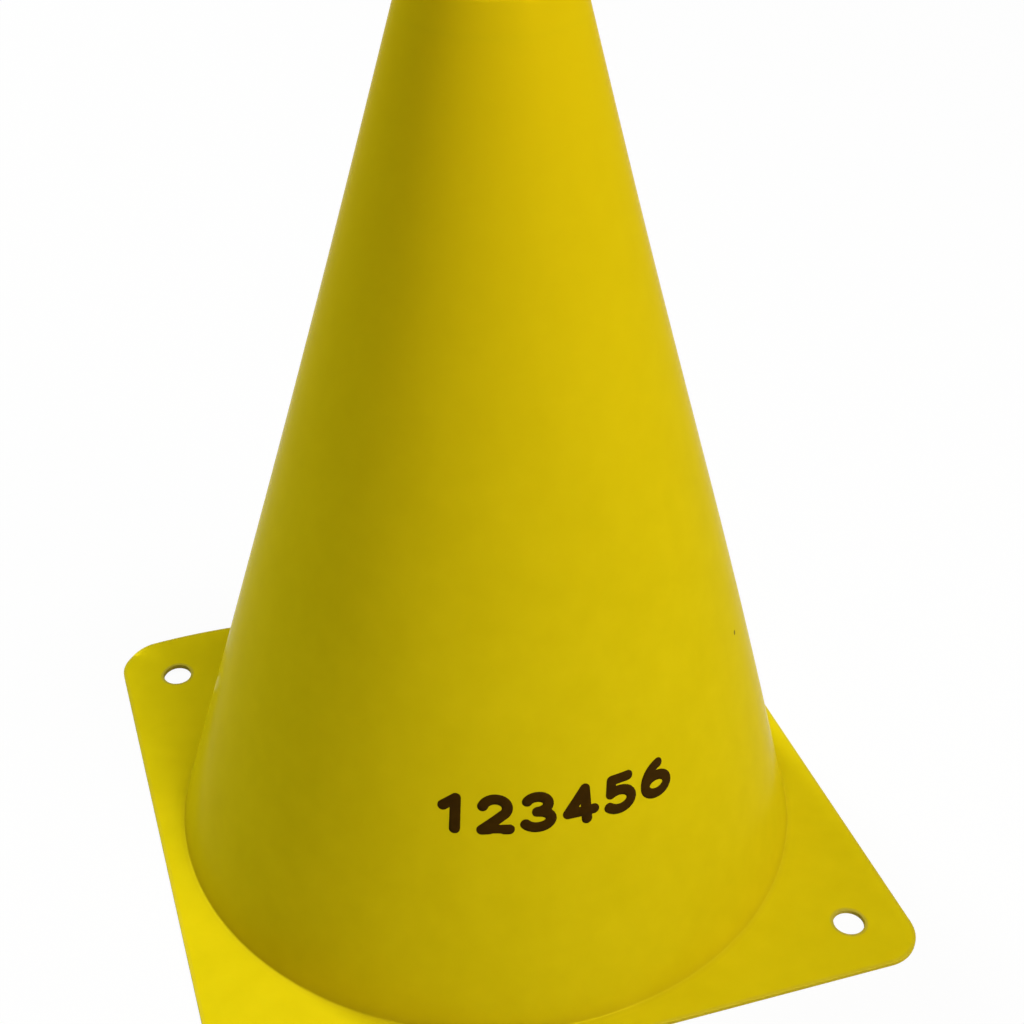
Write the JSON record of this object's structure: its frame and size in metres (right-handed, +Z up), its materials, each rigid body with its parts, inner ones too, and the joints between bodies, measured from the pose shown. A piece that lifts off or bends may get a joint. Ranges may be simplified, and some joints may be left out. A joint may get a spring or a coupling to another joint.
{
  "type": "sports marker cone",
  "caption": "Hollow tapering marker cone on a square foot plate with a peg hole in each corner, a turned-in lip and an open top that takes a marker pole.",
  "frame": {"origin": "centre of the underside of the square foot plate, on the ground", "axes": "+Z up along the cone's axis, +X and +Y square to the sides of the foot plate"},
  "size_m": [0.14, 0.14, 0.18],
  "materials": {
    "yellow_plastic": "semi-gloss moulded flexible polyethylene, yellow all through",
    "print_ink": "very dark brown pad-printed ink"
  },
  "bodies": {
    "root": {"foot_plate": "yellow_plastic", "cone_wall": "yellow_plastic", "top_lip": "yellow_plastic"}
  },
  "joints": []
}
